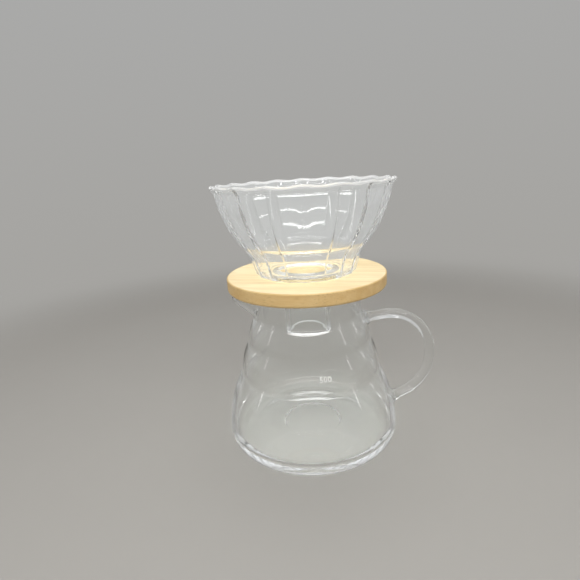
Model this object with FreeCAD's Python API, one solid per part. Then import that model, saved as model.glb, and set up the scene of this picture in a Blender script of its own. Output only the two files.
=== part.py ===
import FreeCAD, Part
import os
from math import asin, ceil, cos, pi, radians, sin

# Pour-over coffee maker: a glass carafe with a fused rod handle, a round
# laminated bamboo collar on its mouth, and a fluted glass dripper whose stem
# hangs through the collar into the carafe.
# Millimetres. The pieces share the axis Z and the carafe's foot is on Z = 0.
# The handle points to +X and the spout to -X.

Vector = FreeCAD.Vector
ORIGIN = Vector(0, 0, 0)
UP = Vector(0, 0, 1)

# Side on which turned surfaces have their seam, in degrees from the handle
SEAM_TURN = 90.0

# Gap between a seated piece and its seat
SEAT_GAP = 0.3

# Carafe, outside
CARAFE_HEIGHT = 109.4
BASE_RADIUS = 60.0
WAIST_RADIUS = 48.2
WAIST_HEIGHT = 50.0
SHOULDER_RADIUS = 42.4
SHOULDER_HEIGHT = 71.0
NECK_RADIUS = 36.2
NECK_HEIGHT = 90.0
LOWER_TIER_SWELL = 3.9
MIDDLE_TIER_SWELL = 1.5
UPPER_TIER_SWELL = 1.3
HEEL_ROUND = 9.5
TIER_ROUND = 3.0

# Carafe, glass and underside
CARAFE_WALL = 2.0
FLOOR_HEIGHT = 5.0
INNER_HEEL_ROUND = 10.0
PUNT_RADIUS = 44.0
PUNT_RISE = 1.4
PUNT_SWELL = 0.3
PONTIL_RADIUS = 20.0
PONTIL_RISE = 2.2

# Spout and the lip that dips towards it
SPOUT_REACH = 51.8
SPOUT_RISE = 16.0
SPOUT_FOOT_RADIUS = 20.0
SPOUT_TIP_RADIUS = 4.8
SPOUT_HALF_ANGLE = radians(36)
SPOUT_FOOT_TURN = radians(25)
SPOUT_TIP_TURN = radians(50)
SPOUT_PULL = 0.4
SPOUT_ROOT = 0.9
SPOUT_STEPS = 5
LIP_START = 31.0
LIP_DROP = 6.4

# Handle
ROD_RADIUS = 3.3
HANDLE_REACH = 87.3
HANDLE_TOP_HEIGHT = 85.9
HANDLE_TOP_TILT = radians(8)
HANDLE_TOP_BEND = 27.8
HANDLE_SIDE_LENGTH = 4.0
HANDLE_LOW_BEND = 31.9
HANDLE_LOW_TURN = radians(65)
HANDLE_LOW_LENGTH = 13.0
PAD_RADIUS = 5.4
PAD_LENGTH = 6.0
PAD_HOLLOW = 0.6
PAD_SINK = 0.1

# Collar
COLLAR_RADIUS = 53.0
COLLAR_THICKNESS = 8.6
COLLAR_TOP_ROUND = 0.8
COLLAR_FOOT_ROUND = 1.8
HOLE_RADIUS = 21.0
HOLE_CHAMFER = 0.6
STRIP_WIDTH = 14.0
GRAIN_TURN = -13.0

# Dripper
FLUTES = 18
FRONT_RIDGE = -pi / 2
DRIPPER_WALL = 2.7
RIM_RADIUS = 58.5
RIM_HEIGHT = 58.4
RIM_DIP = 0.75
RIM_WAVE = 0.45
BEAD_STEPS = 4
HOLE_PLAY = 0.5
STEM_RADIUS = 15.4
STEM_WALL = 3.2
STEM_DROP = 31.4
STEM_STRAIGHT = 10.7
STEM_END_BEVEL = 0.8

# Ridge line of the dripper: radius and height above its flat foot, and how far
# the middle of each flute lies inside the straight line between two ridges
CUP = [(30.6, 0.0, 0.10), (32.8, 0.9, 0.15), (33.7, 3.2, 0.20), (36.9, 13.0, 0.25)]
SHOULDER = [(36.9, 13.0, 0.25), (39.0, 16.8, 0.30), (42.6, 20.0, 0.40)]
BOWL = [(42.6, 20.0, 0.40), (48.4, 31.2, 0.60), (53.9, 43.8, 0.70), (56.0, 54.0, 0.75)]

# How far a cutting solid runs past what it cuts
OVERCUT = 1.0

SPOUT_TIP_HEIGHT = CARAFE_HEIGHT - LIP_DROP
SPOUT_FOOT_HEIGHT = SPOUT_TIP_HEIGHT - SPOUT_RISE
COLLAR_BOTTOM = CARAFE_HEIGHT + SEAT_GAP
COLLAR_TOP = COLLAR_BOTTOM + COLLAR_THICKNESS
DRIPPER_FOOT = COLLAR_TOP + SEAT_GAP
DRIPPER_NECK_RADIUS = HOLE_RADIUS - HOLE_PLAY
STEM_END = COLLAR_BOTTOM - STEM_DROP


def polar(radius, height, angle):
    """Point at a radius, a height and an angle round the axis."""
    return Vector(radius * cos(angle), radius * sin(angle), height)


def flat(radius, height):
    """Point of an outline in the XZ plane."""
    return Vector(radius, 0, height)


def arc(start, middle, end):
    return Part.Arc(start, middle, end).toShape()


def lines(*points):
    """Straight edges from each point to the next."""
    return [Part.LineSegment(start, end).toShape() for start, end in zip(points, points[1:])]


def curve(*poles):
    """Smooth edge that leaves its first pole towards the second and so on."""
    bezier = Part.BezierCurve()
    bezier.setPoles(list(poles))
    return bezier.toShape()


def swelling(start, end, swell):
    """Arc from start up to end that bows away from the axis by swell."""
    chord = end - start
    outward = Vector(chord.z, 0, -chord.x).normalize()
    return arc(start, (start + end) * 0.5 + outward * swell, end)


def turned(edges):
    """Solid of revolution of a closed outline."""
    solid = Part.Face(Part.Wire(edges)).revolve(ORIGIN, UP, 360)
    solid.rotate(ORIGIN, UP, SEAM_TURN)
    return solid


def rings(solid, heights):
    """The solid's round edges that lie at one of the heights."""
    near = 0.01
    found = []
    for edge in solid.Edges:
        box = edge.BoundBox
        if box.ZLength < near < box.XLength and any(abs(box.ZMin - z) < near for z in heights):
            found.append(edge)
    return found


# Carafe

def vessel(inset, floor, top):
    """Solid of the carafe's tiers, set in by inset, from floor to top."""
    base = flat(BASE_RADIUS - inset, 0)
    waist = flat(WAIST_RADIUS - inset, WAIST_HEIGHT)
    shoulder = flat(SHOULDER_RADIUS - inset, SHOULDER_HEIGHT)
    neck = flat(NECK_RADIUS - inset, NECK_HEIGHT)
    solid = turned([
        *lines(ORIGIN, base),
        swelling(base, waist, LOWER_TIER_SWELL),
        swelling(waist, shoulder, MIDDLE_TIER_SWELL),
        swelling(shoulder, neck, UPPER_TIER_SWELL),
        *lines(neck, flat(NECK_RADIUS - inset, top), flat(0, top), ORIGIN),
    ])
    creases = rings(solid, (WAIST_HEIGHT, SHOULDER_HEIGHT, NECK_HEIGHT))
    solid = solid.makeFillet(TIER_ROUND, creases)
    if floor > 0:
        solid = solid.cut(Part.makeCylinder(2 * BASE_RADIUS, floor + OVERCUT, flat(0, -OVERCUT)))
    return solid.Solids[0]


def spout_outline(inset, height, step):
    """Closed section of neck and spout, from round at step 0 to beaked at step 1."""
    ease = step * step * (3 - 2 * step)
    neck = NECK_RADIUS - SPOUT_ROOT - inset
    keel = NECK_RADIUS + (SPOUT_REACH - NECK_RADIUS) * ease - inset
    tip_radius = SPOUT_FOOT_RADIUS + (SPOUT_TIP_RADIUS - SPOUT_FOOT_RADIUS) * step - inset
    turn = SPOUT_FOOT_TURN + (SPOUT_TIP_TURN - SPOUT_FOOT_TURN) * step
    centre = flat(tip_radius - keel, height)
    roots = []
    tips = []
    flanks = []
    for side in (-1, 1):
        root = polar(neck, height, pi + side * SPOUT_HALF_ANGLE)
        tip = centre + polar(tip_radius, 0, pi + side * turn)
        pull = SPOUT_PULL * root.distanceToPoint(tip)
        leave = polar(pull, 0, pi / 2 + side * SPOUT_HALF_ANGLE) * side
        arrive = polar(pull, 0, pi / 2 + side * turn) * side
        roots.append(root)
        tips.append(tip)
        flanks.append(curve(root, root + leave, tip - arrive, tip))
    back = arc(roots[1], flat(neck, height), roots[0])
    front = arc(tips[0], flat(-keel, height), tips[1])
    return Part.Wire([back, flanks[0], front, flanks[1]])


def spout(inset, top):
    """Solid of the spout with the neck that carries it, set in by inset."""
    steps = [number / (SPOUT_STEPS - 1) for number in range(SPOUT_STEPS)]
    outlines = [spout_outline(inset, SPOUT_FOOT_HEIGHT + SPOUT_RISE * step, step) for step in steps]
    outlines.append(spout_outline(inset, top, 1.0))
    return Part.makeLoft(outlines, True)


def above_lip():
    """What is cut away above the lip, which dips in an arc to the spout's tip."""
    run = SPOUT_REACH - LIP_START
    radius = (run * run + LIP_DROP * LIP_DROP) / (2 * LIP_DROP)
    half = asin(run / radius) / 2
    start = Vector(-LIP_START, -BASE_RADIUS, CARAFE_HEIGHT)
    middle = start + Vector(-radius * sin(half), 0, radius * (cos(half) - 1))
    tip = start + flat(-run, -LIP_DROP)
    beyond = tip + flat(-run, -LIP_DROP)
    outline = [arc(start, middle, tip)]
    outline += lines(tip, beyond, beyond + UP * 3 * LIP_DROP, start + UP * LIP_DROP, start)
    return Part.Face(Part.Wire(outline)).extrude(Vector(0, 2 * BASE_RADIUS, 0))


def punt():
    """Hollow under the carafe, with the pontil disc in its middle."""
    edge = flat(PUNT_RADIUS, 0)
    step = flat(PONTIL_RADIUS, PUNT_RISE)
    rest = lines(step, flat(PONTIL_RADIUS, PONTIL_RISE), flat(0, PONTIL_RISE), ORIGIN, edge)
    return turned([swelling(edge, step, PUNT_SWELL), *rest])


def carafe_outside():
    solid = vessel(0, 0, CARAFE_HEIGHT)
    solid = solid.makeFillet(HEEL_ROUND, rings(solid, (0,)))
    return solid.fuse(spout(0, CARAFE_HEIGHT)).Solids[0]


def carafe_inside():
    top = CARAFE_HEIGHT + OVERCUT
    solid = vessel(CARAFE_WALL, FLOOR_HEIGHT, top)
    solid = solid.makeFillet(INNER_HEEL_ROUND, rings(solid, (FLOOR_HEIGHT,)))
    return solid.fuse(spout(CARAFE_WALL, top)).Solids[0]


def carafe_body(outside):
    """Hollow glass with its dipping lip and its punt."""
    return outside.cut(carafe_inside()).cut(above_lip()).cut(punt()).Solids[0]


# Handle

def weld_pad(foot, heading):
    """Melted flare where the rod meets the carafe; heading points away from the wall."""
    root = flat(PAD_RADIUS, 0)
    end = flat(ROD_RADIUS - PAD_SINK, PAD_LENGTH)
    below = flat(0, -PAD_LENGTH)
    pad = turned([
        swelling(root, end, -PAD_HOLLOW),
        *lines(end, flat(0, PAD_LENGTH), below, flat(PAD_RADIUS, -PAD_LENGTH), root),
    ])
    pad.Placement = FreeCAD.Placement(foot, FreeCAD.Rotation(UP, heading))
    return pad


def on_skin(outside, start, heading):
    """Point where a ray that starts inside the carafe leaves it."""
    ray = Part.LineSegment(start, start + heading * BASE_RADIUS).toShape()
    return start + heading * ray.common(outside).Length


def handle(outside):
    """Bent glass rod in the XZ plane, trimmed to the wall that it is fused on."""
    apex = HANDLE_REACH - ROD_RADIUS
    side_top = flat(apex, HANDLE_TOP_HEIGHT - HANDLE_TOP_BEND)
    side_foot = side_top - UP * HANDLE_SIDE_LENGTH

    def on_bend(side, radius, angle):
        return side + flat(radius * (cos(angle) - 1), radius * sin(angle))

    top_outward = flat(cos(HANDLE_TOP_TILT), sin(HANDLE_TOP_TILT))
    low_outward = flat(sin(HANDLE_LOW_TURN), cos(HANDLE_LOW_TURN))
    top_turn = pi / 2 + HANDLE_TOP_TILT
    top = on_bend(side_top, HANDLE_TOP_BEND, top_turn)
    low = on_bend(side_foot, HANDLE_LOW_BEND, -HANDLE_LOW_TURN)
    inside = NECK_RADIUS - 2 * CARAFE_WALL
    start = top - top_outward * ((top.x - inside) / top_outward.x)
    finish = low - low_outward * HANDLE_LOW_LENGTH
    path = Part.Wire([
        *lines(start, top),
        arc(top, on_bend(side_top, HANDLE_TOP_BEND, top_turn / 2), side_top),
        *lines(side_top, side_foot),
        arc(side_foot, on_bend(side_foot, HANDLE_LOW_BEND, -HANDLE_LOW_TURN / 2), low),
        *lines(low, finish),
    ])
    section = Part.Wire([Part.makeCircle(ROD_RADIUS, start, top_outward)])
    rod = path.makePipeShell([section], True, True)
    pads = [
        weld_pad(on_skin(outside, start, top_outward), top_outward),
        weld_pad(on_skin(outside, finish, low_outward), low_outward),
    ]
    return rod.fuse(pads).cut(outside).Solids[0]


# Collar

def collar_disc():
    """Turned disc with rounded rims and a chamfered hole."""
    disc = Part.makeCylinder(COLLAR_RADIUS, COLLAR_THICKNESS, flat(0, COLLAR_BOTTOM))
    disc = disc.makeFillet(COLLAR_TOP_ROUND, rings(disc, (COLLAR_TOP,)))
    disc = disc.makeFillet(COLLAR_FOOT_ROUND, rings(disc, (COLLAR_BOTTOM,)))
    mouth = HOLE_RADIUS + HOLE_CHAMFER
    hole = turned(lines(
        flat(0, COLLAR_BOTTOM), flat(mouth, COLLAR_BOTTOM),
        flat(HOLE_RADIUS, COLLAR_BOTTOM + HOLE_CHAMFER), flat(HOLE_RADIUS, COLLAR_TOP - HOLE_CHAMFER),
        flat(mouth, COLLAR_TOP), flat(0, COLLAR_TOP), flat(0, COLLAR_BOTTOM),
    ))
    return disc.cut(hole)


def collar_strips():
    """Glued bamboo strips of the disc by name, counted from the front."""
    disc = collar_disc()
    disc.rotate(ORIGIN, UP, -GRAIN_TURN)
    half_count = ceil(COLLAR_RADIUS / STRIP_WIDTH)
    half_length = COLLAR_RADIUS + OVERCUT
    height = COLLAR_THICKNESS + 2 * OVERCUT
    strips = {}
    for number in range(2 * half_count):
        front = (number - half_count) * STRIP_WIDTH
        corner = Vector(-half_length, front, COLLAR_BOTTOM - OVERCUT)
        slab = Part.makeBox(2 * half_length, STRIP_WIDTH, height, corner)
        pieces = sorted(disc.common(slab).Solids, key=lambda solid: solid.CenterOfMass.x)
        sides = ("",) if len(pieces) == 1 else ("_left", "_right")
        for side, piece in zip(sides, pieces):
            piece.rotate(ORIGIN, UP, GRAIN_TURN)
            strips["collar_strip_%d%s" % (number + 1, side)] = piece
    return strips


# Dripper

def flute_ring(radius, height, dip, wave=0.0):
    """Ring of flutes at a height above the foot; wave lifts ridges and lowers flutes."""
    pitch = 2 * pi / FLUTES
    level = DRIPPER_FOOT + height
    edges = []
    for number in range(FLUTES):
        ridge = FRONT_RIDGE + number * pitch
        start = polar(radius, level + wave, ridge)
        middle = polar(radius * cos(pitch / 2) - dip, level - wave, ridge + pitch / 2)
        end = polar(radius, level + wave, ridge + pitch)
        edges.append(arc(start, middle, end))
    return Part.Wire(edges)


def inner_line(stations):
    """Stations of the inner wall: the outer ones moved square to the outline."""
    moved = []
    for number, (radius, height, dip) in enumerate(stations):
        before = stations[max(number - 1, 0)]
        after = stations[min(number + 1, len(stations) - 1)]
        slope = Vector(after[0] - before[0], 0, after[1] - before[1]).normalize()
        moved.append((radius - DRIPPER_WALL * slope.z, height + DRIPPER_WALL * slope.x, dip))
    return moved


def bead_line():
    """Stations over the fire-polished rim, from the outer wall to the inner one."""
    half = DRIPPER_WALL / 2
    stations = []
    for step in range(BEAD_STEPS + 1):
        angle = pi * step / BEAD_STEPS
        radius = RIM_RADIUS - half + half * cos(angle)
        height = RIM_HEIGHT - half + half * sin(angle)
        stations.append((radius, height, RIM_DIP, RIM_WAVE))
    return stations


def skin(stations, ruled):
    """Sheet of flutes through stations; ruled keeps straight lines between them."""
    return Part.makeLoft([flute_ring(*station) for station in stations], False, ruled).Faces


def ring_floor(station, hole_radius):
    """Flat floor from a ring of flutes to a round hole."""
    drain = Part.Wire([Part.makeCircle(hole_radius, flat(0, DRIPPER_FOOT + station[1]), UP)])
    return Part.makeFace([flute_ring(*station), drain], "Part::FaceMakerBullseye")


def narrowing(wide, narrow, top, bottom):
    """Smooth step of a tube from wide at the top to narrow at the bottom."""
    third = (top - bottom) / 3
    return curve(flat(wide, top), flat(wide, top - third), flat(narrow, bottom + third), flat(narrow, bottom))


def stem_sheet(floor):
    """Outside, end and bore of the stem, from the foot round to the floor."""
    bore = STEM_RADIUS - STEM_WALL
    drain = DRIPPER_NECK_RADIUS - STEM_WALL
    straight_top = STEM_END + STEM_STRAIGHT
    bevel_top = STEM_END + STEM_END_BEVEL
    outline = Part.Wire([
        *lines(flat(DRIPPER_NECK_RADIUS, DRIPPER_FOOT), flat(DRIPPER_NECK_RADIUS, COLLAR_BOTTOM)),
        narrowing(DRIPPER_NECK_RADIUS, STEM_RADIUS, COLLAR_BOTTOM, straight_top),
        *lines(
            flat(STEM_RADIUS, straight_top), flat(STEM_RADIUS, bevel_top),
            flat(STEM_RADIUS - STEM_END_BEVEL, STEM_END), flat(bore + STEM_END_BEVEL, STEM_END),
            flat(bore, bevel_top), flat(bore, straight_top),
        ),
        narrowing(drain, bore, COLLAR_BOTTOM, straight_top),
        *lines(flat(drain, COLLAR_BOTTOM), flat(drain, floor)),
    ])
    return outline.revolve(ORIGIN, UP, 360).Faces


def dripper():
    """One glass: fluted wall, rolled rim, flat floor and stem, sewn into a solid."""
    inner = inner_line(CUP[:-1] + SHOULDER[:-1] + BOWL)[1:]
    knee = len(inner) - len(BOWL)
    faces = skin(CUP, True) + skin(SHOULDER, True) + skin(BOWL, False)
    faces += skin([BOWL[-1], *bead_line(), inner[-1]], True)
    faces += skin(inner[:knee + 1], True) + skin(inner[knee:], False)
    faces += [ring_floor(CUP[0], DRIPPER_NECK_RADIUS)]
    faces += [ring_floor(inner[0], DRIPPER_NECK_RADIUS - STEM_WALL)]
    faces += stem_sheet(DRIPPER_FOOT + inner[0][1])
    shell = Part.Shell(faces)
    shell.sewShape()
    return Part.Solid(shell)


def main():
    os.makedirs("parts", exist_ok=True)
    outside = carafe_outside()
    pieces = {"carafe_body": carafe_body(outside), "carafe_handle": handle(outside)}
    pieces.update(collar_strips())
    pieces["dripper"] = dripper()
    for name, piece in pieces.items():
        piece.exportStep("parts/%s.step" % name)


main()
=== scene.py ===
"""Looks of a pour-over coffee maker: glass carafe, bamboo collar and fluted glass dripper.

The sizes in the classes are in millimetres, and metres() turns them into the scene's unit.
"""

import logging
from dataclasses import dataclass, field
from enum import Enum
from math import atan2, cos, degrees, hypot, pi, radians, sin, sqrt, tan

import bmesh
import bpy
from mathutils import Matrix, Vector


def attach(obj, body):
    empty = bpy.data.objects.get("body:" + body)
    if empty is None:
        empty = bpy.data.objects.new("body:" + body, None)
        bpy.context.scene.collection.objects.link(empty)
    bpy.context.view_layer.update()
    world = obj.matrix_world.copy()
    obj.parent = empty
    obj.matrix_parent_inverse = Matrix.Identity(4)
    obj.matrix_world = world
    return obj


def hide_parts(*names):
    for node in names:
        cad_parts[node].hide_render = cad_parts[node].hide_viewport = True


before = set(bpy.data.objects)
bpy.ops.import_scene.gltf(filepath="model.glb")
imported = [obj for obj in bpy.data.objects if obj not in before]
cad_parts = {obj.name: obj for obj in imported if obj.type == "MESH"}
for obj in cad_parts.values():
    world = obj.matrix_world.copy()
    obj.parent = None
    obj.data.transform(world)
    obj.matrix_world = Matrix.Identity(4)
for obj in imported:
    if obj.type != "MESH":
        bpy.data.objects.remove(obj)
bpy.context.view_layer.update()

REPORT = logging.getLogger("coffee_maker")
MILLIMETRE = 0.001
NEAR = 1e-7


def metres(*lengths: float) -> Vector:
    """Turns a place in millimetres into the scene's metres.

    Args:
        *lengths: two or three coordinates in millimetres.

    Returns:
        The same place in metres.
    """
    return Vector(lengths) * MILLIMETRE


def eased(value: float, low: float, high: float) -> float:
    """Rises smoothly from 0 at low to 1 at high.

    Args:
        value: where to read the curve.
        low: where it leaves 0.
        high: where it reaches 1.

    Returns:
        The share, from 0 to 1.
    """
    share = min(max((value - low) / (high - low), 0.0), 1.0)
    return share * share * (3 - 2 * share)


# Drawing half sections

class Outline:
    """Half section of a turned glass, drawn point by point as radius and height."""

    STEP = 2.0
    CORNER_STEPS = 14

    def __init__(self, radius: float, height: float) -> None:
        """Starts the outline.

        Args:
            radius: distance of the first point from the axis, in millimetres.
            height: its height.
        """
        self.points: list[Vector] = [Vector((radius, height))]
        self.corners: list[tuple[int, float]] = []

    def line(self, radius: float, height: float, soften: float = 0.0) -> "Outline":
        """Draws a straight stretch.

        Args:
            radius: distance of its end from the axis.
            height: height of its end.
            soften: how far from its end the corner there starts to round.

        Returns:
            The outline itself, for the next stretch.
        """
        return self.swell(radius, height, 0.0, soften)

    def swell(self, radius: float, height: float, bulge: float, soften: float = 0.0) -> "Outline":
        """Draws an arc that bows to its right by bulge.

        Args:
            radius: distance of its end from the axis.
            height: height of its end.
            bulge: height of the arc over its chord, to the right of the way it goes.
            soften: how far from its end the corner there starts to round.

        Returns:
            The outline itself, for the next stretch.
        """
        start = self.points[-1].copy()
        end = Vector((radius, height))
        chord = end - start
        side = Vector((chord.y, -chord.x)).normalized()
        steps = max(1, round(chord.length / self.STEP))
        if bulge:
            half = chord.length / 2
            arc_radius = (half * half + bulge * bulge) / (2 * bulge)
        for number in range(1, steps + 1):
            share = number / steps
            point = start + chord * share
            if bulge:
                along = (share - 0.5) * chord.length
                rise = sqrt(arc_radius * arc_radius - along * along) - (abs(arc_radius) - abs(bulge))
                point += side * (rise if bulge > 0 else -rise)
            self.points.append(point)
        if soften:
            self.corners.append((len(self.points) - 1, soften))
        return self

    def turn(self, centre: tuple[float, float], start: float, end: float, steps: int) -> "Outline":
        """Draws a round stretch about a centre.

        Args:
            centre: radius and height of the centre.
            start: angle of its first point, in degrees from the way that points outwards.
            end: angle of its last point.
            steps: number of straight pieces.

        Returns:
            The outline itself, for the next stretch.
        """
        middle = Vector(centre)
        reach = (self.points[-1] - middle).length
        for number in range(1, steps + 1):
            angle = radians(start + (end - start) * number / steps)
            self.points.append(middle + reach * Vector((cos(angle), sin(angle))))
        return self

    def finished(self) -> list[Vector]:
        """Rounds the corners.

        Returns:
            The points of the whole outline, as radius and height.
        """
        points = list(self.points)
        for corner, reach in reversed(self.corners):
            before, first = self._reach(points, corner, reach, -1)
            after, last = self._reach(points, corner, reach, 1)
            middle = points[corner]
            rounded = []
            for number in range(self.CORNER_STEPS + 1):
                share = number / self.CORNER_STEPS
                rounded.append(
                    before * (1 - share) ** 2 + middle * 2 * share * (1 - share) + after * share * share
                )
            points[first + 1:last] = rounded
        return points

    @staticmethod
    def _reach(points: list[Vector], corner: int, reach: float, way: int) -> tuple[Vector, int]:
        """Walks from a corner along the outline.

        Args:
            points: the outline.
            corner: index of the corner.
            reach: how far to walk.
            way: 1 onwards or -1 backwards.

        Returns:
            The place reached, and the index of the first point beyond it.
        """
        left = reach
        index = corner
        while True:
            step = (points[index + way] - points[index]).length
            if step > left:
                return points[index].lerp(points[index + way], left / step), index + way
            left -= step
            index += way


def radius_at(outline: list[Vector], height: float) -> float:
    """Finds the outside of a half section at a height.

    Args:
        outline: points of the section.
        height: where to look.

    Returns:
        The largest radius there.
    """
    found = [0.0]
    for low, high in zip(outline, outline[1:]):
        if min(low.y, high.y) <= height <= max(low.y, high.y) and low.y != high.y:
            found.append(low.lerp(high, (height - low.y) / (high.y - low.y)).x)
    return max(found)


# Making pieces

def piece_from(mesh: bmesh.types.BMesh, name: str, sharp: float) -> bpy.types.Object:
    """Closes a mesh, turns it the right way out and puts it in the scene.

    Args:
        mesh: the shape, in metres, which is used up.
        name: name of the piece.
        sharp: angle in degrees over which an edge stays sharp.

    Returns:
        The piece's object, at the origin.
    """
    bmesh.ops.remove_doubles(mesh, verts=mesh.verts, dist=NEAR)
    bmesh.ops.recalc_face_normals(mesh, faces=mesh.faces)
    data = bpy.data.meshes.new(name)
    mesh.to_mesh(data)
    mesh.free()
    data.shade_smooth()
    data.set_sharp_from_angle(angle=radians(sharp))
    piece = bpy.data.objects.new(name, data)
    bpy.context.scene.collection.objects.link(piece)
    return piece


def spun(outline: list[Vector], steps: int) -> bmesh.types.BMesh:
    """Turns a half section round the axis.

    Args:
        outline: its points, as radius and height in millimetres.
        steps: number of steps in the full turn.

    Returns:
        The turned mesh, in metres.
    """
    mesh = bmesh.new()
    verts = [mesh.verts.new(metres(point.x, 0, point.y)) for point in outline]
    edges = [mesh.edges.new(pair) for pair in zip(verts, verts[1:])]
    bmesh.ops.spin(
        mesh, geom=verts + edges, cent=(0, 0, 0), axis=(0, 0, 1), angle=2 * pi, steps=steps, use_merge=True
    )
    return mesh


# Finishes

class Nodes:
    """Node tree of a material or a world, with short calls to add and join nodes."""

    def __init__(self, owner: bpy.types.ID) -> None:
        """Empties the node tree of its owner.

        Args:
            owner: the material or the world.
        """
        owner.use_nodes = True
        self.tree = owner.node_tree
        self.tree.nodes.clear()

    def add(self, kind: str, **values: object) -> bpy.types.Node:
        """Adds a node.

        Args:
            kind: type of node, without the word ShaderNode.
            **values: settings of the node, its inputs by name with underscores for spaces, and
                inputs by number with an underscore before it.

        Returns:
            The node.
        """
        node = self.tree.nodes.new("ShaderNode" + kind)
        for name, value in values.items():
            if hasattr(node, name):
                setattr(node, name, value)
                continue
            socket = node.inputs[int(name[1:]) if name[1:].isdigit() else name.replace("_", " ")]
            if isinstance(value, bpy.types.NodeSocket):
                self.tree.links.new(value, socket)
            else:
                socket.default_value = value
        return node

    def math(self, operation: str, *inputs: object) -> bpy.types.NodeSocket:
        """Adds a sum.

        Args:
            operation: name of the operation.
            *inputs: numbers or sockets.

        Returns:
            The result's socket.
        """
        node = self.add("Math", operation=operation)
        for number, value in enumerate(inputs):
            if isinstance(value, bpy.types.NodeSocket):
                self.tree.links.new(value, node.inputs[number])
            else:
                node.inputs[number].default_value = value
        return node.outputs[0]

    def noise(self, place: bpy.types.NodeSocket, scale: float, detail: float = 2.0,
              roughness: float = 0.5) -> bpy.types.NodeSocket:
        """Adds a noise.

        Args:
            place: where it is read.
            scale: cells in a metre.
            detail: number of finer layers.
            roughness: how strong the finer layers are.

        Returns:
            Its value, from 0 to 1.
        """
        node = self.add("TexNoise", Vector=place, Scale=scale, Detail=detail, Roughness=roughness)
        return node.outputs["Fac"]

    def spread(self, value: bpy.types.NodeSocket, low: float, high: float,
               start: float = 0.3, end: float = 0.7) -> bpy.types.NodeSocket:
        """Maps a value from one range to another.

        Args:
            value: what is mapped.
            low: result at start.
            high: result at end.
            start: value that gives low.
            end: value that gives high.

        Returns:
            The mapped value.
        """
        node = self.add("MapRange", Value=value, From_Min=start, From_Max=end, To_Min=low, To_Max=high)
        return node.outputs[0]

    def mix(self, share: object, first: object, second: object, blend: str = "MIX") -> bpy.types.NodeSocket:
        """Mixes two colours.

        Args:
            share: how much of the second shows.
            first: a colour or a socket.
            second: a colour or a socket.
            blend: way of mixing.

        Returns:
            The mixed colour.
        """
        node = self.add("Mix", data_type="RGBA", blend_type=blend, factor_mode="UNIFORM")
        for number, value in ((0, share), (6, first), (7, second)):
            if isinstance(value, bpy.types.NodeSocket):
                self.tree.links.new(value, node.inputs[number])
            else:
                node.inputs[number].default_value = value
        return node.outputs[2]

    def seen(self) -> bpy.types.NodeSocket:
        """Tells the rays that show a surface, straight or through glass, from those that light one.

        Returns:
            1 for a ray that shows and 0 for a ray that lights.
        """
        rays = self.add("LightPath").outputs
        glass = self.math("MAXIMUM", rays["Is Glossy Ray"], rays["Is Transmission Ray"])
        return self.math("MAXIMUM", glass, rays["Is Camera Ray"])

    def finish(self, shader: bpy.types.Node, output: str = "OutputMaterial") -> None:
        """Joins the last shader to the output.

        Args:
            shader: what the surface or the world shows.
            output: type of output node.
        """
        self.add(output, Surface=shader.outputs[0])


class GlassKind(Enum):
    """Ways in which the glass was shaped, each with how close its waves lie along the axis."""

    BLOWN = 1.6
    PRESSED = 0.35
    DRAWN = 0.5


@dataclass(frozen=True)
class GlassFinish:
    """Clear borosilicate glass with the faint waves of how it was shaped."""

    name: str
    kind: GlassKind
    tint: tuple[float, float, float] = (0.985, 0.992, 0.988)
    # Painted shade: the colour the glass darkens to where it is seen edge-on, and the facing at which it
    # starts.
    edge_shade_tint: tuple[float, float, float] = (0.80, 0.83, 0.82)
    edge_shade_start: float = 0.6
    shadow_tint: tuple[float, float, float] = (0.93, 0.94, 0.935)
    ior: float = 1.47
    wave_scale: float = 34.0
    wave_depth: float = 0.16
    smear: float = 0.012
    haze: float = 0.0
    # Painted highlight: strength of a white band on the rolled rim, and the wave values over which it comes
    # in.
    painted_rim_highlight: float = 0.0
    painted_rim_range: tuple[float, float] = (0.32, 0.45)

    def material(self) -> bpy.types.Material:
        """Builds the material.

        Returns:
            Clear glass that lets the lamps' light through, with a painted highlight as a white band on the
            rolled rim where it has one, and painted shade where it is seen edge-on.
        """
        surface = bpy.data.materials.new(self.name)
        nodes = Nodes(surface)
        place = nodes.add("TexCoord").outputs["Object"]
        place = nodes.add("Mapping", Vector=place, Scale=(1, 1, self.kind.value)).outputs[0]
        waves = nodes.noise(place, self.wave_scale, 1.0, 0.3)
        bump = nodes.add("Bump", Strength=self.wave_depth, Distance=MILLIMETRE, Height=waves)
        wiped = nodes.spread(nodes.noise(place, self.wave_scale * 2, 4.0), 0.0, self.smear, 0.45, 0.8)
        # Painted shade: the glass colour darkens towards edge-on views, for the dark lines along its edges.
        facing = nodes.add("LayerWeight", Blend=0.5).outputs["Facing"]
        edge = nodes.spread(facing, 0.0, 1.0, self.edge_shade_start, 1.0)
        colour = nodes.mix(edge, (*self.tint, 1), (*self.edge_shade_tint, 1))
        glass = nodes.add(
            "BsdfPrincipled", Base_Color=colour, Roughness=wiped, IOR=self.ior,
            Transmission_Weight=1.0 - self.haze, Normal=bump.outputs[0],
        )
        # Painted highlight: a white diffuse band mixed in where the wave attribute marks the rolled rim,
        # for the bright line along the rim.
        if self.painted_rim_highlight:
            rim = nodes.add("Attribute", attribute_name="wave").outputs["Fac"]
            share = nodes.spread(rim, 0.0, self.painted_rim_highlight, *self.painted_rim_range)
            rim_highlight_paint = nodes.add("BsdfDiffuse", Color=(*self.tint, 1), Normal=bump.outputs[0])
            glass = nodes.add("MixShader", _0=share, _1=glass.outputs[0], _2=rim_highlight_paint.outputs[0])
        through = nodes.add("BsdfTransparent", Color=(*self.shadow_tint, 1))
        rays = nodes.add("LightPath").outputs["Is Shadow Ray"]
        both = nodes.add("MixShader", _0=rays, _1=glass.outputs[0], _2=through.outputs[0])
        nodes.finish(both)
        return surface


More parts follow.
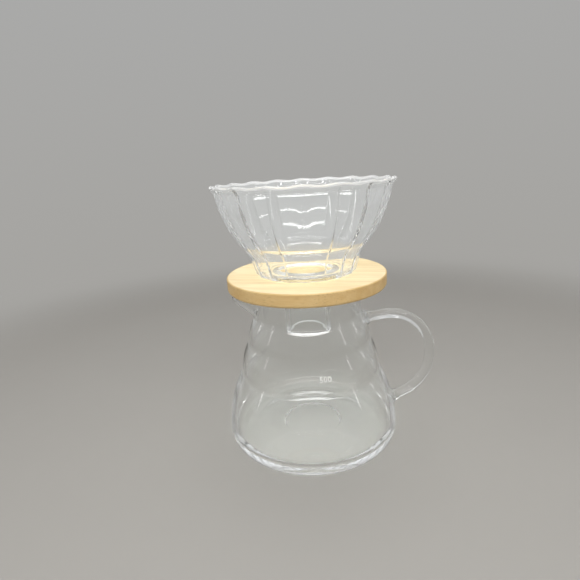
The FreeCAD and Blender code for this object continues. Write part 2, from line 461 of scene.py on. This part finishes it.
@dataclass(frozen=True)
class BambooFinish:
    """Sanded bamboo strip: straight fibres along its length and pores on its cut ends, with painted shade
    on the collar's outer side.
    """

    name: str
    seed: float
    tone: float
    turn: float
    top_light: tuple[float, float, float] = (0.95, 0.80, 0.51)
    top_dark: tuple[float, float, float] = (0.84, 0.65, 0.36)
    # Painted shade: tint that darkens the outer side of the collar.
    side_shade_tint: tuple[float, float, float] = (0.84, 0.72, 0.54)
    pore: tuple[float, float, float] = (0.36, 0.22, 0.09)
    pore_strength: float = 0.34
    pore_range: tuple[float, float] = (0.08, 0.34)
    fibre_stretch: float = 0.03
    fibre_scale: float = 1500.0
    band_stretch: float = 0.12
    band_scale: float = 160.0
    pore_scale: float = 1150.0
    # Radii over which the painted shade of the outer side comes in.
    painted_rim_range: tuple[float, float] = (51.9, 52.6)

    def material(self) -> bpy.types.Material:
        """Builds the material.

        Returns:
            The bamboo of one strip.
        """
        surface = bpy.data.materials.new(self.name)
        nodes = Nodes(surface)
        place = nodes.add("TexCoord").outputs["Object"]
        shift = (self.seed, self.seed, 0)
        along = nodes.add(
            "Mapping", Vector=place, Rotation=(0, 0, -radians(self.turn)), Location=shift
        ).outputs[0]
        fibre_place = nodes.add("Mapping", Vector=along, Scale=(self.fibre_stretch, 1, 1)).outputs[0]
        band_place = nodes.add("Mapping", Vector=along, Scale=(self.band_stretch, 1, 1)).outputs[0]
        fibres = nodes.noise(fibre_place, self.fibre_scale, 3.0, 0.65)
        bands = nodes.noise(band_place, self.band_scale, 3.0, 0.5)
        cells = nodes.add("TexVoronoi", Vector=fibre_place, Scale=self.pore_scale, Randomness=1.0)
        fine = nodes.spread(fibres, -0.5, 0.5)
        light = nodes.math("MULTIPLY_ADD", fine, 0.5, nodes.spread(bands, 0.0, 1.0))
        light = nodes.math("ADD", light, self.tone)
        colour = nodes.mix(light, (*self.top_dark, 1), (*self.top_light, 1))
        dots = nodes.spread(cells.outputs["Distance"], self.pore_strength, 0.0, *self.pore_range)
        colour = nodes.mix(dots, colour, (*self.pore, 1))
        # Painted shade: the outer side of the collar is tinted darker than its top, as light falls on it
        # less; turned holds the shaded colour.
        flat = nodes.add("Mapping", Vector=place, Scale=(1, 1, 0)).outputs[0]
        reach = nodes.add("VectorMath", operation="LENGTH", _0=flat).outputs["Value"]
        rim = nodes.spread(reach, 0.0, 1.0, *metres(*self.painted_rim_range))
        turned = nodes.mix(1.0, colour, (*self.side_shade_tint, 1), "MULTIPLY")
        colour = nodes.mix(rim, colour, turned)
        rough = nodes.spread(fibres, 0.62, 0.46)
        bump = nodes.add("Bump", Strength=0.25, Distance=MILLIMETRE / 5, Height=fibres)
        wood = nodes.add(
            "BsdfPrincipled", Base_Color=colour, Roughness=rough, Specular_IOR_Level=0.35,
            Normal=bump.outputs[0],
        )
        nodes.finish(wood)
        return surface


@dataclass(frozen=True)
class PrintFinish:
    """Fired white enamel of the volume mark."""

    name: str = "mark_enamel"
    dusty: tuple[float, float, float] = (0.88, 0.88, 0.86)
    white: tuple[float, float, float] = (0.97, 0.97, 0.95)

    def material(self) -> bpy.types.Material:
        """Builds the material.

        Returns:
            White enamel with a slightly mottled, dusty surface.
        """
        surface = bpy.data.materials.new(self.name)
        nodes = Nodes(surface)
        place = nodes.add("TexCoord").outputs["Object"]
        specks = nodes.noise(place, 2600, 3.0, 0.6)
        colour = nodes.mix(nodes.spread(specks, 0.0, 1.0), (*self.dusty, 1), (*self.white, 1))
        bump = nodes.add("Bump", Strength=0.3, Distance=MILLIMETRE / 20, Height=specks)
        enamel = nodes.add(
            "BsdfPrincipled", Base_Color=colour, Roughness=nodes.spread(specks, 0.55, 0.35),
            Normal=bump.outputs[0],
        )
        nodes.finish(enamel)
        return surface


@dataclass(frozen=True)
class StageFinish:
    """Matt paint of the floor, which passes into an evenly lit backdrop."""

    name: str = "matt_stage"
    floor: tuple[float, float, float] = (0.43, 0.416, 0.39)
    wall_low: tuple[float, float, float] = (0.38, 0.372, 0.355)
    wall_high: tuple[float, float, float] = (0.40, 0.40, 0.395)
    ceiling: tuple[float, float, float] = (0.96, 0.98, 1.0)
    fade: tuple[float, float] = (330.0, 620.0)
    wall_rise: tuple[float, float] = (0.0, 520.0)
    ceiling_rise: tuple[float, float] = (520.0, 740.0)
    shine: float = 0.25
    grain_tone: float = 0.98

    def material(self) -> bpy.types.Material:
        """Builds the material.

        Returns:
            Matt paint that takes shadows near the object and keeps its own tone far from it. Glass
            mirrors the far part paler than it is seen.
        """
        surface = bpy.data.materials.new(self.name)
        nodes = Nodes(surface)
        place = nodes.add("TexCoord").outputs["Object"]
        grain = nodes.noise(place, 60, 4.0)
        dark = tuple(channel * self.grain_tone for channel in self.floor)
        colour = nodes.mix(grain, (*dark, 1), (*self.floor, 1))
        paint = nodes.add("BsdfPrincipled", Base_Color=colour, Roughness=0.8, Specular_IOR_Level=0.2)
        height = nodes.add("SeparateXYZ", Vector=place).outputs["Z"]
        rise = nodes.spread(height, 0, 1, *metres(*self.wall_rise))
        tone = nodes.mix(rise, (*self.wall_low, 1), (*self.wall_high, 1))
        rise = nodes.spread(height, 0, 1, *metres(*self.ceiling_rise))
        tone = nodes.mix(rise, tone, (*self.ceiling, 1))
        mirrored = nodes.math("MULTIPLY", nodes.add("LightPath").outputs["Is Glossy Ray"], self.shine)
        tone = nodes.mix(mirrored, tone, (*self.ceiling, 1))
        even = nodes.add("Emission", Color=tone, Strength=1.0)
        level = nodes.add("Mapping", Vector=place, Scale=(1, 1, 0)).outputs[0]
        reach = nodes.add("VectorMath", operation="LENGTH", _0=level).outputs["Value"]
        near, far = metres(*self.fade)
        share = nodes.add(
            "MapRange", interpolation_type="SMOOTHSTEP", Value=reach, From_Min=near, From_Max=far,
        ).outputs[0]
        share = nodes.math("MULTIPLY", share, nodes.seen())
        both = nodes.add("MixShader", _0=share, _1=paint.outputs[0], _2=even.outputs[0])
        nodes.finish(both)
        return surface


# Carafe

@dataclass
class Carafe:
    """Blown glass carafe of three tiers with a beak spout and a dipping lip."""

    height: float = 109.4
    base_radius: float = 59.98
    waist: tuple[float, float] = (48.2, 50.0)
    shoulder: tuple[float, float] = (42.4, 71.0)
    neck: tuple[float, float] = (36.2, 90.0)
    swells: tuple[float, float, float] = (3.9, 1.5, 1.3)
    heel_round: float = 9.5
    tier_round: float = 2.2
    wall: float = 2.0
    floor_height: float = 5.0
    inner_heel: float = 1.0
    inner_swell: float = 0.82
    punt: tuple[float, float] = (44.0, 1.4)
    punt_round: float = 1.5
    pontil: tuple[float, float] = (20.0, 2.2)
    pontil_step: float = 1.2
    spout_reach: float = 51.8
    spout_foot: float = 87.0
    spout_half_angle: float = 36.0
    spout_power: float = 1.55
    beak_round: float = 0.06
    root_round: float = 0.5
    lip_blend: float = 3.0
    lip_start: float = 31.0
    lip_drop: float = 6.4
    steps: int = 320
    outline: list[Vector] = field(default_factory=list)

    def __post_init__(self) -> None:
        """Draws the half section once."""
        self.outline = self._section()

    def _section(self) -> list[Vector]:
        """Draws the half section, from the pontil out, over the lip and in to the floor.

        Returns:
            Points as radius and height.
        """
        low, middle, high = self.swells
        pontil_radius, pontil_rise = self.pontil
        punt_radius, punt_rise = self.punt
        inner = self.wall
        lip = self.wall / 2
        mouth = self.height - lip
        outline = Outline(0, pontil_rise)
        soft = self.pontil_step / 2
        outline.line(pontil_radius, pontil_rise, soft)
        outline.line(pontil_radius + self.pontil_step, punt_rise, soft)
        outline.swell(punt_radius, 0, -0.3, self.punt_round)
        outline.line(self.base_radius, 0, self.heel_round)
        outline.swell(*self.waist, low, self.tier_round)
        outline.swell(*self.shoulder, middle, self.tier_round)
        outline.swell(*self.neck, high, self.tier_round)
        outline.line(self.neck[0], mouth)
        outline.turn((self.neck[0] - lip, mouth), 0, 180, 8)
        outline.line(self.neck[0] - inner, self.neck[1], self.tier_round)
        outline.swell(self.shoulder[0] - inner, self.shoulder[1], -high, self.tier_round)
        outline.swell(self.waist[0] - inner, self.waist[1], -middle, self.tier_round)
        heel = self.base_radius - inner - self.inner_heel
        outline.swell(heel, self.floor_height, -low * self.inner_swell, self.heel_round)
        outline.line(0, self.floor_height)
        return outline.finished()

    def _spout(self, angle: float, height: float) -> float:
        """Finds how far the spout stands out of the neck.

        Args:
            angle: angle from the spout's middle, in radians.
            height: height in millimetres.

        Returns:
            The extra radius in millimetres.
        """
        share = abs(angle) / radians(self.spout_half_angle)
        tip_height = self.height - self.lip_drop
        rise = eased(height, self.spout_foot, tip_height)
        if share >= 1 or rise <= 0:
            return 0.0
        blunt = self.beak_round + self.root_round * (1 - rise)
        sharp = (sqrt(share * share + blunt * blunt) - blunt) / (sqrt(1 + blunt * blunt) - blunt)
        return (self.spout_reach - self.neck[0]) * rise * (1 - sharp) ** self.spout_power

    def _dip(self, reach: float) -> float:
        """Finds how far the lip lies under the mouth.

        Args:
            reach: distance towards the spout, in millimetres.

        Returns:
            The drop in millimetres.
        """
        run = max(reach - self.lip_start, 0.0)
        whole = self.spout_reach - self.lip_start
        arc_radius = (whole * whole + self.lip_drop * self.lip_drop) / (2 * self.lip_drop)
        return arc_radius - sqrt(arc_radius * arc_radius - run * run)

    def shape_spout(self, mesh: bmesh.types.BMesh) -> None:
        """Draws the neck out into the spout and lowers its lip.

        Args:
            mesh: the turned carafe, in metres.
        """
        for vert in mesh.verts:
            place = vert.co / MILLIMETRE
            angle = atan2(place.y, -place.x)
            radius = hypot(place.x, place.y)
            if place.z < self.spout_foot or abs(angle) > radians(self.spout_half_angle) or radius < 1:
                continue
            share = eased(place.z, self.spout_foot + self.lip_blend, self.height)
            height = place.z
            reach = radius
            for _ in range(4):
                reach = radius + self._spout(angle, height)
                height = place.z - self._dip(reach * cos(angle)) * share
            vert.co = metres(-reach * cos(angle), reach * sin(angle), height)

    def build(self) -> bpy.types.Object:
        """Builds and dresses the carafe.

        Returns:
            The finished piece.
        """
        mesh = spun(self.outline, self.steps)
        self.shape_spout(mesh)
        piece = piece_from(mesh, "carafe_glass_body", 50)
        piece.data.materials.append(GlassFinish("blown_glass", GlassKind.BLOWN).material())
        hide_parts("carafe_body")
        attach(piece, "carafe")
        return piece


@dataclass
class Handle:
    """Bent glass rod, fused on the carafe at both ends."""

    carafe: Carafe
    rod_radius: float = 3.3
    reach: float = 87.3
    top_height: float = 85.9
    top_tilt: float = 8.0
    top_bend: float = 27.8
    side_length: float = 4.0
    low_bend: float = 31.9
    low_turn: float = 65.0
    pad_radius: float = 5.4
    pad_length: float = 6.0
    ripple: float = 0.25
    ripple_length: float = 2.4
    sunk: float = 0.9
    spacing: float = 0.6
    sides: int = 40

    def _bend(self, side: Vector, bend: float, first: float, last: float) -> list[tuple[Vector, Vector]]:
        """Follows a bend of the rod.

        Args:
            side: place where the bend goes straight down.
            bend: its radius.
            first: angle of its first point, in degrees from the way that points outwards.
            last: angle of its last point.

        Returns:
            Points and the way the rod goes there, as pairs of X and Z.
        """
        centre = side - Vector((bend, 0))
        count = round(bend * radians(first - last) / self.spacing)
        stations = []
        for number in range(count + 1):
            angle = radians(first + (last - first) * number / count)
            outward = Vector((cos(angle), sin(angle)))
            stations.append((centre + outward * bend, Vector((outward.y, -outward.x))))
        return stations

    def _depth(self, radius: float, height: float) -> float:
        """Finds how far a place is from where the rod ends, just under the carafe's skin."""
        return radius - radius_at(self.carafe.outline, height) + self.sunk

    def _run(self, point: Vector, way: Vector) -> list[Vector]:
        """Follows a straight end of the rod into the carafe's skin.

        Args:
            point: where the straight end leaves its bend.
            way: the way to the carafe.

        Returns:
            Points from the bend to the carafe.
        """
        length = self._depth(*point) / abs(way.x)
        for _ in range(4):
            length += self._depth(*(point + way * length)) / abs(way.x)
        count = round(length / self.spacing)
        return [point + way * length * (number + 1) / count for number in range(count)]

    def route(self) -> list[tuple[Vector, Vector]]:
        """Follows the rod's centreline from the neck to the belly.

        Returns:
            Points and the way the rod goes there, as pairs of X and Z.
        """
        side = Vector((self.reach - self.rod_radius, self.top_height - self.top_bend))
        upper = self._bend(side, self.top_bend, 90 + self.top_tilt, 0)
        lower = self._bend(side - Vector((0, self.side_length)), self.low_bend, 0, -self.low_turn)
        top, way = upper[0]
        upper = [(point, way) for point in reversed(self._run(top, -way))] + upper
        foot, way = lower[-1]
        return upper + lower + [(point, way) for point in self._run(foot, way)]

    def build(self) -> bpy.types.Object:
        """Builds and dresses the handle.

        Returns:
            The finished piece.
        """
        mesh = bmesh.new()
        stations = self.route()
        rings = []
        for point, way in stations:
            skin = min((point - stations[0][0]).length, (point - stations[-1][0]).length) - self.sunk
            melt = max(1 - max(skin, 0) / self.pad_length, 0)
            radius = self.rod_radius + (self.pad_radius - self.rod_radius) * melt * melt
            radius += self.ripple * melt * sin(2 * pi * skin / self.ripple_length)
            heading = Vector((way.x, 0, way.y))
            turn = heading.to_track_quat("Z", "Y").to_matrix().to_4x4()
            ring = bmesh.ops.create_circle(
                mesh, segments=self.sides, radius=radius * MILLIMETRE,
                matrix=Matrix.Translation(metres(point.x, 0, point.y)) @ turn,
            )
            for vert in ring["verts"] if melt else ():
                place = vert.co / MILLIMETRE
                slide = self._depth(hypot(place.x, place.y), place.z) - self._depth(*point)
                vert.co -= heading * slide / heading.x * melt * MILLIMETRE
            rings.append(ring["verts"])
        for ring in (rings[0], rings[-1]):
            border = {edge for vert in ring for edge in vert.link_edges}
            bmesh.ops.contextual_create(mesh, geom=list(border))
        for ring, following in zip(rings, rings[1:]):
            loops = [
                edge for loop in (ring, following) for vert in loop for edge in vert.link_edges
                if edge.other_vert(vert) in loop
            ]
            bmesh.ops.bridge_loops(mesh, edges=list(set(loops)))
        piece = piece_from(mesh, "carafe_glass_handle", 50)
        # The darker edge colour is painted shade along the rod's sides.
        finish = GlassFinish("drawn_glass", GlassKind.DRAWN, edge_shade_tint=(0.60, 0.62, 0.61))
        piece.data.materials.append(finish.material())
        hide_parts("carafe_handle")
        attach(piece, "carafe")
        return piece


@dataclass
class VolumeMark:
    """Plain number printed on the front of the carafe at its level."""

    carafe: Carafe
    digits: str = "500"
    digit_height: float = 3.3
    digit_share: float = 0.7
    digit_spacing: float = 1.12
    level: float = 60.0
    middle: float = -79.2
    thickness: float = 0.08
    sunk: float = 0.02
    boldness: float = 0.03

    def build(self) -> bpy.types.Object:
        """Builds the digits and wraps them round the glass.

        Returns:
            The finished piece.
        """
        curve = bpy.data.curves.new("volume_digits", "FONT")
        curve.body = self.digits
        curve.size = self.digit_height / self.digit_share * MILLIMETRE
        curve.align_x = "CENTER"
        curve.space_character = self.digit_spacing
        curve.offset = self.boldness * MILLIMETRE
        source = bpy.data.objects.new("volume_digits", curve)
        data = bpy.data.meshes.new_from_object(source)
        bpy.data.objects.remove(source)
        mesh = bmesh.new()
        mesh.from_mesh(data)
        bpy.data.meshes.remove(data)
        bmesh.ops.triangulate(mesh, faces=mesh.faces)
        for _ in range(2):
            bmesh.ops.subdivide_edges(mesh, edges=mesh.edges, cuts=1)
        bmesh.ops.triangulate(mesh, faces=mesh.faces)
        bmesh.ops.recalc_face_normals(mesh, faces=mesh.faces)
        if sum(face.normal.z for face in mesh.faces) < 0:
            bmesh.ops.reverse_faces(mesh, faces=mesh.faces)
        raised = bmesh.ops.extrude_face_region(mesh, geom=list(mesh.faces))
        upper = {item for item in raised["geom"] if isinstance(item, bmesh.types.BMVert)}
        for vert in mesh.verts:
            across = vert.co.x / MILLIMETRE
            up = vert.co.y / MILLIMETRE + self.level
            radius = radius_at(self.carafe.outline, up)
            radius += self.thickness if vert in upper else -self.sunk
            angle = radians(self.middle) + across / radius
            vert.co = metres(radius * cos(angle), radius * sin(angle), up)
        piece = piece_from(mesh, "volume_mark", 30)
        piece.data.materials.append(PrintFinish().material())
        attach(piece, "carafe")
        return piece


# Collar

@dataclass
class Collar:
    """Round collar glued up from bamboo strips that keep their modelled shape."""

    grain_turn: float = -13.0
    grain_step: float = 0.37
    tones: tuple[float, ...] = (0.02, -0.10, 0.06, 0.0, 0.08, -0.04, 0.05, -0.07, 0.03, -0.02)

    def build(self) -> list[bpy.types.Object]:
        """Dresses the strips, each in its own bamboo.

        Returns:
            The strips.
        """
        names = sorted(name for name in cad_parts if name.startswith("collar_strip"))
        strips = []
        for number, name in enumerate(names):
            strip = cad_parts[name]
            tone = self.tones[number % len(self.tones)]
            finish = BambooFinish("bamboo_" + name, number * self.grain_step, tone, self.grain_turn)
            strip.data.materials.clear()
            strip.data.materials.append(finish.material())
            strip.data.shade_smooth()
            strips.append(strip)
        return strips


# Dripper

@dataclass
class Dripper:
    """Pressed glass dripper with flutes, a waved rim, a flat-bottomed cup and a stem."""

    foot: float = 118.6
    flutes: int = 18
    front_ridge: float = -90.0
    wall: float = 2.7
    ridge_line: tuple[tuple[float, float, float], ...] = (
        (30.6, 0.0, 0.10), (32.8, 0.9, 0.15), (33.7, 3.2, 0.20), (36.9, 13.0, 0.25), (39.4, 17.4, 0.32),
        (42.9, 21.6, 0.46), (48.5, 31.2, 0.60), (53.6, 43.8, 0.67), (56.0, 54.0, 0.72),
    )
    rim_radius: float = 58.5
    rim_height: float = 58.4
    rim_dip: float = 0.75
    rim_wave: float = 0.45
    softness: float = 0.1
    ridge_round: float = 0.02
    crowding: float = 0.8
    neck_radius: float = 20.5
    stem_radius: float = 15.4
    stem_wall: float = 3.2
    stem_end: float = 78.3
    stem_straight: float = 10.7
    stem_top: float = 109.7
    floor_corner: float = 1.5
    drain_edge: tuple[tuple[float, float], ...] = ((0.0, -0.8), (0.25, -0.25), (0.9, 0.0))
    foot_edge: tuple[tuple[float, float], ...] = ((3.0, 0.0), (0.5, -0.05), (0.0, -0.5))
    end_round: float = 1.2
    end_steps: int = 5
    fall_steps: int = 14
    rim_steps: int = 10
    rings_between: int = 12
    steps: int = 360

    def _ridge(self) -> list[Vector]:
        """Draws a smooth line through the ridge stations.

        Returns:
            Points of radius, height over the foot and dip of the flutes.
        """
        stations = [Vector(station) for station in self.ridge_line]
        points = [stations[0], stations[1]]
        for number in range(1, len(stations) - 1):
            before = stations[number - 1]
            start = stations[number]
            end = stations[number + 1]
            after = stations[min(number + 2, len(stations) - 1)]
            leave = (end - before) * 0.5
            arrive = (after - start) * 0.5
            for step in range(1, self.rings_between + 1):
                share = step / self.rings_between
                square = share * share
                cube = square * share
                points.append(
                    start * (2 * cube - 3 * square + 1) + leave * (cube - 2 * square + share)
                    + end * (3 * square - 2 * cube) + arrive * (cube - square)
                )
        return points

    def _valley(self, turns: float) -> float:
        """Shapes one flute.

        Args:
            turns: place round the axis, in flutes from a ridge.

        Returns:
            Its depth there, from 0 on a ridge to 1 in the middle of the flute.
        """
        away = abs(turns - round(turns))
        melted = sqrt(away * away + self.ridge_round ** 2) - self.ridge_round
        share = melted / (sqrt(0.25 + self.ridge_round ** 2) - self.ridge_round)
        scoop = share * (2 - share)
        return scoop * (1 - self.softness) + (1 - cos(pi * share)) / 2 * self.softness

    def section(self) -> list[tuple[Vector, float, float]]:
        """Draws the half section along a ridge, from the foot round to the stem's inside.

        Returns:
            Place as radius and height, depth of the flutes, and height of the rim's wave.
        """
        outer = self._ridge()
        inner = []
        for number in range(1, len(outer)):
            before = outer[number - 1]
            after = outer[min(number + 1, len(outer) - 1)]
            slope = Vector((after.x - before.x, after.y - before.y)).normalized()
            moved = Vector((outer[number].x - self.wall * slope.y, outer[number].y + self.wall * slope.x))
            inner.append((moved, outer[number].z))
        floor_level = inner[0][0].y
        stations = []

        def add(radius: float, height: float, dip: float = -1.0, wave: float = 0.0) -> None:
            """Adds a station; a dip below 0 stands for a round ring."""
            depth = 0.0 if dip < 0 else radius * (1 - cos(pi / self.flutes)) + dip
            stations.append((Vector((radius, height)), depth, wave))

        bore = self.stem_radius - self.stem_wall
        drain = self.neck_radius - self.stem_wall
        end = self.stem_end - self.foot
        top = self.stem_top - self.foot
        straight = end + self.stem_straight
        for number in range(self.fall_steps + 1):
            run = number / self.fall_steps
            add(bore + (drain - bore) * eased(run, 0, 1), straight + (top - straight) * run)
        for out, up in self.drain_edge:
            add(drain + out, floor_level + up)
        add(inner[0][0].x - self.floor_corner, floor_level, self.ridge_line[0][2])
        for place, dip in inner:
            add(place.x, place.y, dip)
        half = self.wall / 2
        middle = self.rim_radius - half
        lift = self.rim_height - half
        for number in range(self.rim_steps + 1):
            angle = pi - pi * number / self.rim_steps
            add(middle + half * cos(angle), lift + half * sin(angle), self.rim_dip, self.rim_wave)
        for station in reversed(outer):
            add(station.x, station.y, station.z)
        for out, up in self.foot_edge:
            add(self.neck_radius + out, up)
        for number in range(self.fall_steps + 1):
            run = number / self.fall_steps
            narrowing = (self.stem_radius - self.neck_radius) * eased(run, 0, 1)
            add(self.neck_radius + narrowing, top + (straight - top) * run)
        for centre, first in ((self.stem_radius - self.end_round, 0), (bore + self.end_round, -90)):
            for number in range(self.end_steps + 1):
                angle = radians(first - 90 * number / self.end_steps)
                add(centre + self.end_round * cos(angle), end + self.end_round * (1 + sin(angle)))
        return stations

    def build(self) -> bpy.types.Object:
        """Builds and dresses the dripper.

        Returns:
            The finished piece.
        """
        mesh = bmesh.new()
        depths = mesh.verts.layers.float.new("depth")
        waves = mesh.verts.layers.float.new("wave")
        verts = []
        for place, depth, wave in self.section():
            vert = mesh.verts.new(metres(place.x, 0, place.y + self.foot))
            vert[depths] = depth
            vert[waves] = wave
            verts.append(vert)
        edges = [mesh.edges.new(pair) for pair in zip(verts, verts[1:] + verts[:1])]
        bmesh.ops.spin(
            mesh, geom=verts + edges, cent=(0, 0, 0), axis=(0, 0, 1), angle=2 * pi, steps=self.steps,
            use_merge=True,
        )
        for vert in mesh.verts:
            place = vert.co / MILLIMETRE
            turns = (degrees(atan2(place.y, place.x)) - self.front_ridge) * self.flutes / 360
            turns -= self.crowding * sin(2 * pi * turns) / (2 * pi)
            angle = radians(turns * 360 / self.flutes + self.front_ridge)
            radius = hypot(place.x, place.y) - vert[depths] * self._valley(turns)
            lift = vert[waves] * cos(2 * pi * turns)
            vert.co = metres(radius * cos(angle), radius * sin(angle), place.z + lift)
        piece = piece_from(mesh, "dripper_glass_body", 60)
        # The white band on the rim is a painted highlight.
        finish = GlassFinish(
            "pressed_glass", GlassKind.PRESSED, wave_scale=40.0, wave_depth=0.06, haze=0.01, painted_rim_highlight=0.45
        )
        piece.data.materials.append(finish.material())
        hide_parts("dripper")
        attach(piece, "dripper")
        return piece


# Studio

@dataclass
class Studio:
    """Pale floor and round backdrop, soft lamps and the camera."""

    backdrop_radius: float = 720.0
    backdrop_height: float = 900.0
    cove: float = 160.0
    ground: float = -0.05
    overhead_place: tuple[float, float, float] = (0.0, 120.0, 810.0)
    overhead_aim: tuple[float, float, float] = (0.0, 0.0, 80.0)
    overhead_side: float = 420.0
    overhead_power: float = 1.3
    bar_rises: tuple[tuple[float, float], ...] = ((24.0, 38.0), (38.0, 9.0), (51.0, 18.0))
    bar_turns: tuple[float, ...] = (-36.0, -18.0, 0.0, 18.0, 36.0)
    bar_reach: float = 600.0
    bar_middle: tuple[float, float] = (50.0, 160.0)
    bar_glow: float = 14.0
    strip_turns: tuple[float, ...] = (-112.0, -78.0, 66.0, 100.0)
    strip_reach: float = 600.0
    strip_height: float = 340.0
    strip_aim: tuple[float, float, float] = (0.0, 0.0, 120.0)
    strip_size: tuple[float, float] = (14.0, 560.0)
    strip_power: float = 0.15
    lens: float = 26.0
    camera_back: float = 273.77
    camera_height: float = 186.27
    camera_pitch: float = 0.286
    camera_yaw: float = -0.042
    camera_roll: float = -0.058
    bounces: int = 32
    air_low: tuple[float, float, float] = (0.35, 0.35, 0.345)
    air_high: tuple[float, float, float] = (0.60, 0.60, 0.615)

    def floor(self) -> None:
        """Builds the floor with the backdrop that rises from it."""
        outline = Outline(0, self.ground)
        outline.line(self.backdrop_radius - self.cove, self.ground)
        outline.turn((self.backdrop_radius - self.cove, self.ground + self.cove), -90, 0, 12)
        outline.line(self.backdrop_radius, self.backdrop_height)
        mesh = spun(outline.finished(), 96)
        bmesh.ops.remove_doubles(mesh, verts=mesh.verts, dist=NEAR)
        bmesh.ops.recalc_face_normals(mesh, faces=mesh.faces)
        bmesh.ops.reverse_faces(mesh, faces=mesh.faces)
        data = bpy.data.meshes.new("studio_floor")
        mesh.to_mesh(data)
        mesh.free()
        data.shade_smooth()
        floor_object = bpy.data.objects.new("studio_floor", data)
        bpy.context.scene.collection.objects.link(floor_object)
        floor_object.data.materials.append(StageFinish().material())

    def lamp(self, name: str, place: tuple[float, float, float], aim: tuple[float, float, float],
             size: tuple[float, float], power: float) -> None:
        """Hangs a soft rectangular lamp.

        Args:
            name: its name.
            place: where it hangs, in millimetres.
            aim: the point that it faces.
            size: width and height in millimetres.
            power: watts.
        """
        data = bpy.data.lights.new(name, "AREA")
        data.shape = "RECTANGLE"
        data.size, data.size_y = metres(*size, 0)[:2]
        data.energy = power
        lamp = bpy.data.objects.new(name, data)
        bpy.context.scene.collection.objects.link(lamp)
        lamp.location = metres(*place)
        lamp.rotation_euler = (metres(*aim) - lamp.location).to_track_quat("-Z", "Y").to_euler()
        lamp.visible_camera = False

    def lamps(self) -> None:
        """Hangs the lamps: one overhead, upright strips at the sides, and level rows of bars in front."""
        side = self.overhead_side
        self.lamp("overhead", self.overhead_place, self.overhead_aim, (side, side), self.overhead_power)
        for turn in self.strip_turns:
            across = self.strip_reach * sin(radians(turn))
            away = -self.strip_reach * cos(radians(turn))
            place = (across, away, self.strip_height)
            self.lamp("strip_%d" % turn, place, self.strip_aim, self.strip_size, self.strip_power)
        middle, height = self.bar_middle
        for rise, width in self.bar_rises:
            reach = self.bar_reach * cos(radians(rise))
            up = height + self.bar_reach * sin(radians(rise))
            step = radians(self.bar_turns[1] - self.bar_turns[0])
            length = 2 * reach * tan(step / 2)
            power = self.bar_glow * pi * length * width * MILLIMETRE ** 2
            for turn in self.bar_turns:
                place = (reach * sin(radians(turn)), middle - reach * cos(radians(turn)), up)
                name = "bar_%d_%d" % (rise, turn)
                self.lamp(name, place, (0, middle, height), (length, width), power)

    def sky(self) -> None:
        """Surrounds the scene with soft light, brighter from above."""
        world = bpy.data.worlds.new("studio_air")
        nodes = Nodes(world)
        place = nodes.add("TexCoord").outputs["Generated"]
        height = nodes.add("SeparateXYZ", Vector=place).outputs["Z"]
        light = nodes.mix(nodes.spread(height, 0, 1, 0, 1), (*self.air_low, 1), (*self.air_high, 1))
        colour = nodes.mix(nodes.seen(), light, (*StageFinish.ceiling, 1))
        nodes.finish(nodes.add("Background", Color=colour, Strength=1.0), "OutputWorld")
        bpy.context.scene.world = world

    def camera(self) -> None:
        """Sets up the camera at the photograph's angle."""
        data = bpy.data.cameras.new("camera")
        data.lens = self.lens
        data.sensor_width = 36
        data.clip_start = 0.01
        camera = bpy.data.objects.new("camera", data)
        bpy.context.scene.collection.objects.link(camera)
        right = Vector((cos(self.camera_yaw), -sin(self.camera_yaw), 0))
        ahead = Vector((sin(self.camera_yaw), cos(self.camera_yaw), 0))
        up = Vector((0, 0, 1))
        forward = ahead * cos(self.camera_pitch) - up * sin(self.camera_pitch)
        level = ahead * sin(self.camera_pitch) + up * cos(self.camera_pitch)
        across = right * cos(self.camera_roll) + level * sin(self.camera_roll)
        upward = -right * sin(self.camera_roll) + level * cos(self.camera_roll)
        turn = Matrix((across, upward, -forward)).transposed()
        place = Matrix.Translation(metres(0, -self.camera_back, self.camera_height))
        camera.matrix_world = place @ turn.to_4x4()
        bpy.context.scene.camera = camera

    def build(self) -> None:
        """Builds the whole studio."""
        self.floor()
        self.lamps()
        self.sky()
        self.camera()
        bpy.context.scene.view_settings.view_transform = "Standard"
        cycles = bpy.context.scene.cycles
        cycles.max_bounces = self.bounces
        cycles.glossy_bounces = self.bounces
        cycles.transmission_bounces = self.bounces
        cycles.transparent_max_bounces = self.bounces


def main() -> None:
    """Builds the pieces in order and reports each."""
    logging.basicConfig(level=logging.INFO, format="%(name)s: %(message)s")
    carafe = Carafe()
    pieces = [carafe.build(), Handle(carafe).build(), VolumeMark(carafe).build()]
    pieces += Collar().build()
    pieces.append(Dripper().build())
    Studio().build()
    for piece in pieces:
        REPORT.info("%s: %d faces", piece.name, len(piece.data.polygons))


if __name__ == "__main__":
    main()
